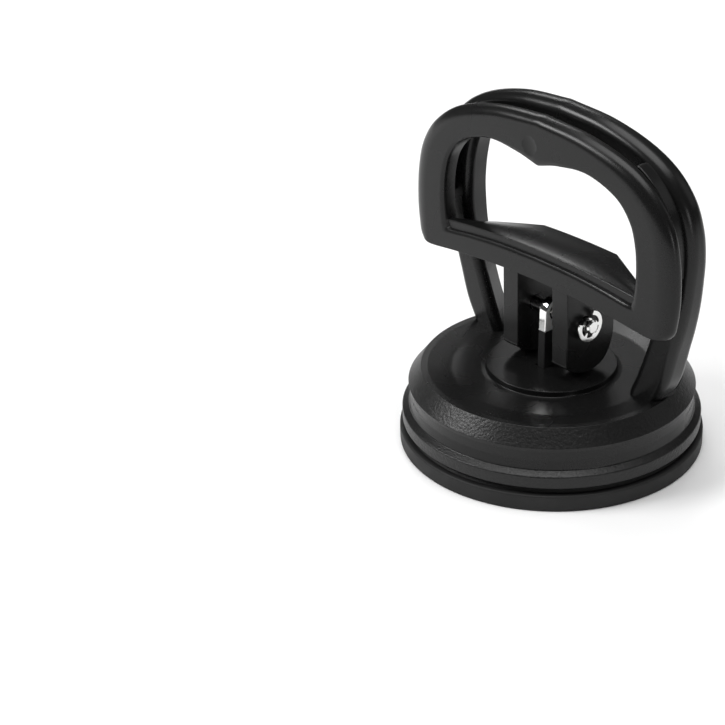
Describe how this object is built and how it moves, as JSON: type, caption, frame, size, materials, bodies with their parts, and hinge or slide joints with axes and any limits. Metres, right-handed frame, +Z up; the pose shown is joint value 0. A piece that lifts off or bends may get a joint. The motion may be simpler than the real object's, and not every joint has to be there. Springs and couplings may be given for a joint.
{
  "type": "vacuum suction cup",
  "caption": "Small round suction cup with a rubber pad, a pinned cam lever with a finger loop, and a fixed loop handle.",
  "frame": {"origin": "centre of the rubber pad's flat sealing face, on the surface that the cup stands on", "axes": "+Z up out of the clamped surface, +X along the pivot pin, -Y towards the cam lever, +Y towards the fixed handle"},
  "size_m": [0.0642, 0.0564, 0.0654],
  "materials": {
    "rubber": "smooth matte black rubber",
    "plated_steel": "bright plated steel",
    "textured_plastic": "black plastic, spark-eroded bands and a smooth deck",
    "black_plastic": "smooth satin black plastic"
  },
  "bodies": {
    "pad": {"suction_pad": "rubber", "pull_tab": "plated_steel", "pivot_pin": "plated_steel", "e_clip_left": "plated_steel", "e_clip_right": "plated_steel"},
    "lever": {"cam_lever": "black_plastic"},
    "housing": {"base_housing": "textured_plastic", "fixed_handle": "black_plastic"}
  },
  "joints": [
    {"name": "lever_swing", "type": "hinge", "parent": "pad", "child": "lever", "pos_m": [0, 0, 0.0257], "axis": [1, 0, 0], "range_deg": [0, 60]},
    {"name": "housing_lift", "type": "slide", "parent": "pad", "child": "housing", "axis": [0, 0, 1], "range_m": [0, 0.0022]}
  ],
  "couplings": [
    {"joint": "housing_lift", "follows": "lever_swing", "m_per_rad": 0.0021}
  ]
}
